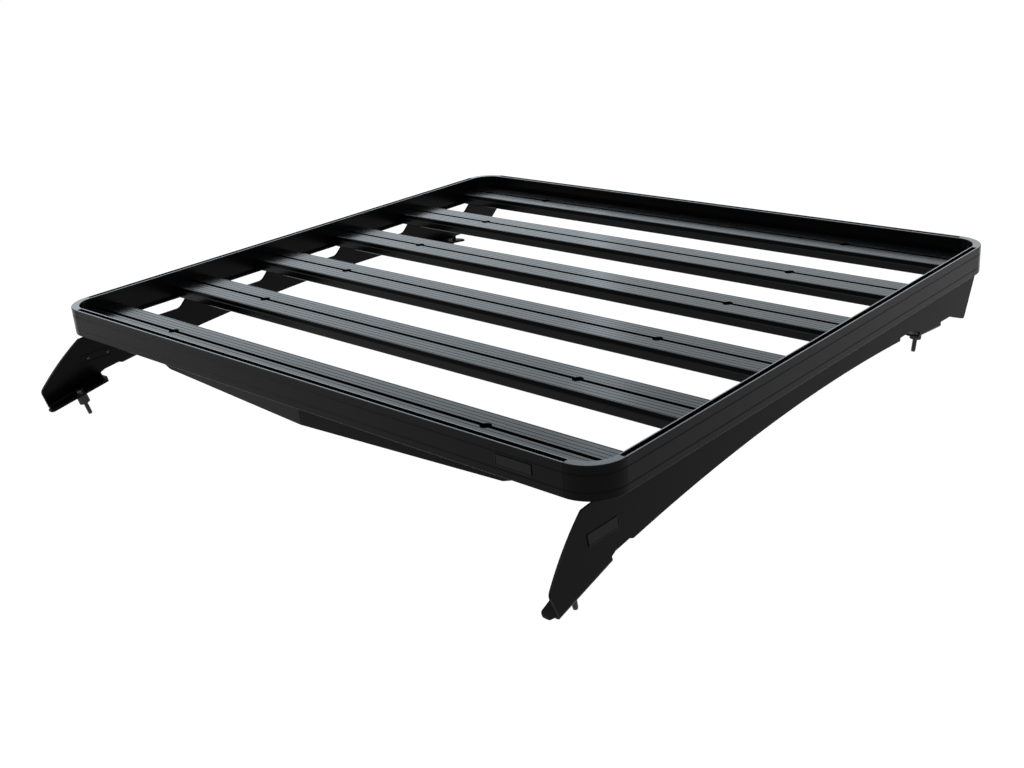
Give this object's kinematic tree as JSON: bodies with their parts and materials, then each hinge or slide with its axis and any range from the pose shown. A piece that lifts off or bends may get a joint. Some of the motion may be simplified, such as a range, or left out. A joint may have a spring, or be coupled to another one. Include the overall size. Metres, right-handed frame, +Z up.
{
  "type": "flat platform roof rack",
  "caption": "Flat slotted platform rack for a vehicle roof: slats in a rounded frame on two arched, folded side plates with a blunt wind deflector under the front.",
  "frame": {"origin": "on the underside of the front left foot's spacer, beside its stud", "axes": "+X across the vehicle to the rack's right as seen from its front, +Y to the rear, +Z up"},
  "size_m": [1.261, 1.243, 0.2038],
  "materials": {
    "frame_coat": "satin black powder coat on the rails",
    "corner_coat": "satin black powder coat on the cast corners",
    "slat_coat": "satin black powder coat on the slats, fine grooves along them",
    "plate_coat": "matt black powder coat on folded sheet",
    "screws": "dark zinc plated steel",
    "spacer_rubber": "matt black",
    "badge_coat": "dark satin, left blank"
  },
  "bodies": {
    "root": {"front_rail": "frame_coat", "rear_rail": "frame_coat", "left_rail": "frame_coat", "right_rail": "frame_coat", "front_left_corner": "corner_coat", "front_right_corner": "corner_coat", "rear_left_corner": "corner_coat", "rear_right_corner": "corner_coat", "slat_1": "slat_coat", "slat_2": "slat_coat", "slat_3": "slat_coat", "slat_4": "slat_coat", "slat_5": "slat_coat", "slat_6": "slat_coat", "left_side_plate": "plate_coat", "right_side_plate": "plate_coat", "front_left_foot_screw": "screws", "front_right_foot_screw": "screws", "rear_left_foot_screw": "screws", "rear_right_foot_screw": "screws", "front_left_foot_spacer": "spacer_rubber", "front_right_foot_spacer": "spacer_rubber", "rear_left_foot_spacer": "spacer_rubber", "rear_right_foot_spacer": "spacer_rubber", "wind_deflector": "plate_coat", "left_slat_screws": "screws", "right_slat_screws": "screws", "deflector_screws": "screws", "front_badge_plate": "badge_coat", "left_leg_badge_plate": "badge_coat", "right_leg_badge_plate": "badge_coat"}
  },
  "joints": []
}
